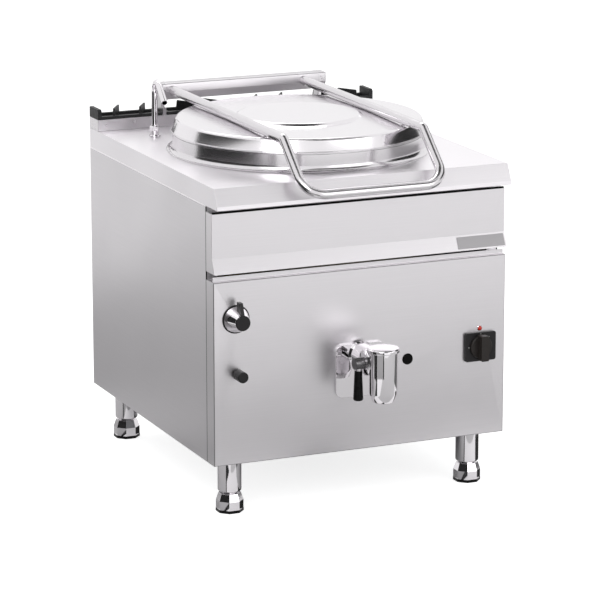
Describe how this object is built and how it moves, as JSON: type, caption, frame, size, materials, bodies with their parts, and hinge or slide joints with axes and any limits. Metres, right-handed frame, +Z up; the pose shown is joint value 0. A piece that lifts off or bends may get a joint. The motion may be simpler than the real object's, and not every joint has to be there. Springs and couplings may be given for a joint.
{
  "type": "steam jacketed kettle",
  "caption": "Gas heated boiling kettle: round jacketed pan in a steel cabinet, hinged lid with a wide handle, swivel water spout, drain tap, controls and screw feet.",
  "frame": {"origin": "on the floor, at the middle of the kettle's plan from the tap's nose to the back panel", "axes": "+Z up; the front with the tap faces -Y; the user's left is -X"},
  "size_m": [0.8, 1.047, 1.0006],
  "materials": {
    "brushed_steel": "satin brushed stainless sheet",
    "polished_steel": "polished stainless steel",
    "chrome": "bright chrome",
    "cast_iron": "black heat-proof coating",
    "black_plastic": "fine satin",
    "red_lens": "clear red lens",
    "white_silicone": "matt silicone",
    "mineral_wool": "loose mineral fibre",
    "galvanised": "plain galvanised sheet",
    "brass": "plain machined",
    "spring_steel": "drawn wire"
  },
  "bodies": {
    "kettle_body": {"base_frame": "galvanised", "front_rail": "galvanised", "steam_jacket": "galvanised", "firebox_shell": "galvanised", "flue_duct": "galvanised", "side_panel_left": "brushed_steel", "side_panel_right": "brushed_steel", "rear_panel": "brushed_steel", "front_panel": "brushed_steel", "control_fascia": "brushed_steel", "worktop": "brushed_steel", "flue_riser": "brushed_steel", "well_collar": "brushed_steel", "hinge_post_left": "brushed_steel", "hinge_post_right": "brushed_steel", "badge_plate": "polished_steel", "pan_vessel": "polished_steel", "drain_pipe": "polished_steel", "leg_front_left": "polished_steel", "leg_front_right": "polished_steel", "leg_rear_left": "polished_steel", "leg_rear_right": "polished_steel", "flue_grate": "cast_iron", "gas_burner": "cast_iron", "jacket_insulation": "mineral_wool", "gas_valve": "brass", "gas_supply_pipe": "brass", "gas_burner_pipe": "brass", "safety_valve": "brass", "water_pipe": "brass", "tap_escutcheon": "chrome", "tap_body": "chrome", "spout_base": "chrome", "knob_bezel": "black_plastic", "piezo_igniter": "black_plastic", "sight_plug": "black_plastic", "switch_body": "black_plastic", "pilot_lamp": "red_lens", "balance_spring_left": "spring_steel", "balance_spring_right": "spring_steel"},
    "lid": {"lid_skin": "brushed_steel", "lid_liner": "polished_steel", "lid_gasket": "white_silicone", "lid_handle": "polished_steel", "hinge_housing": "brushed_steel", "housing_end_left": "brushed_steel", "housing_end_right": "brushed_steel", "hinge_shaft": "polished_steel"},
    "water_spout": {"spout_tube": "chrome"},
    "drain_lever": {"tap_plug": "chrome", "lever_hub": "chrome", "lever_grip": "black_plastic"},
    "gas_knob": {"control_knob": "chrome", "knob_cap": "black_plastic"},
    "igniter_push": {"igniter_button": "black_plastic"},
    "main_switch": {"switch_handle": "black_plastic"},
    "screw_foot_front_left": {"foot_front_left": "polished_steel"},
    "screw_foot_front_right": {"foot_front_right": "polished_steel"},
    "screw_foot_rear_left": {"foot_rear_left": "polished_steel"},
    "screw_foot_rear_right": {"foot_rear_right": "polished_steel"}
  },
  "joints": [
    {"name": "lid_hinge", "type": "hinge", "parent": "kettle_body", "child": "lid", "pos_m": [0, 0.48655, 0.937], "axis": [-1, 0, 0], "range_deg": [0, 85]},
    {"name": "spout_swivel", "type": "hinge", "parent": "kettle_body", "child": "water_spout", "pos_m": [-0.286, 0.33855, 0.8438], "axis": [0, 0, 1], "range_deg": [-100, 40]},
    {"name": "drain_lever_turn", "type": "hinge", "parent": "kettle_body", "child": "drain_lever", "pos_m": [-0.0055, -0.44645, 0.394], "axis": [-1, 0, 0], "range_deg": [0, 90]},
    {"name": "gas_knob_turn", "type": "hinge", "parent": "kettle_body", "child": "gas_knob", "pos_m": [-0.341, -0.34405, 0.5115], "axis": [0, 1, 0], "range_deg": [-240, 0]},
    {"name": "igniter_press", "type": "slide", "parent": "kettle_body", "child": "igniter_push", "axis": [0, 1, 0], "range_m": [0, 0.006], "stiffness_N_per_m": 800},
    {"name": "main_switch_turn", "type": "hinge", "parent": "kettle_body", "child": "main_switch", "pos_m": [0.329, -0.34405, 0.374], "axis": [0, 1, 0], "range_deg": [0, 90]},
    {"name": "foot_front_left_screw", "type": "slide", "parent": "kettle_body", "child": "screw_foot_front_left", "axis": [0, 0, -1], "range_m": [0, 0.03]},
    {"name": "foot_front_right_screw", "type": "slide", "parent": "kettle_body", "child": "screw_foot_front_right", "axis": [0, 0, -1], "range_m": [0, 0.03]},
    {"name": "foot_rear_left_screw", "type": "slide", "parent": "kettle_body", "child": "screw_foot_rear_left", "axis": [0, 0, -1], "range_m": [0, 0.03]},
    {"name": "foot_rear_right_screw", "type": "slide", "parent": "kettle_body", "child": "screw_foot_rear_right", "axis": [0, 0, -1], "range_m": [0, 0.03]}
  ]
}
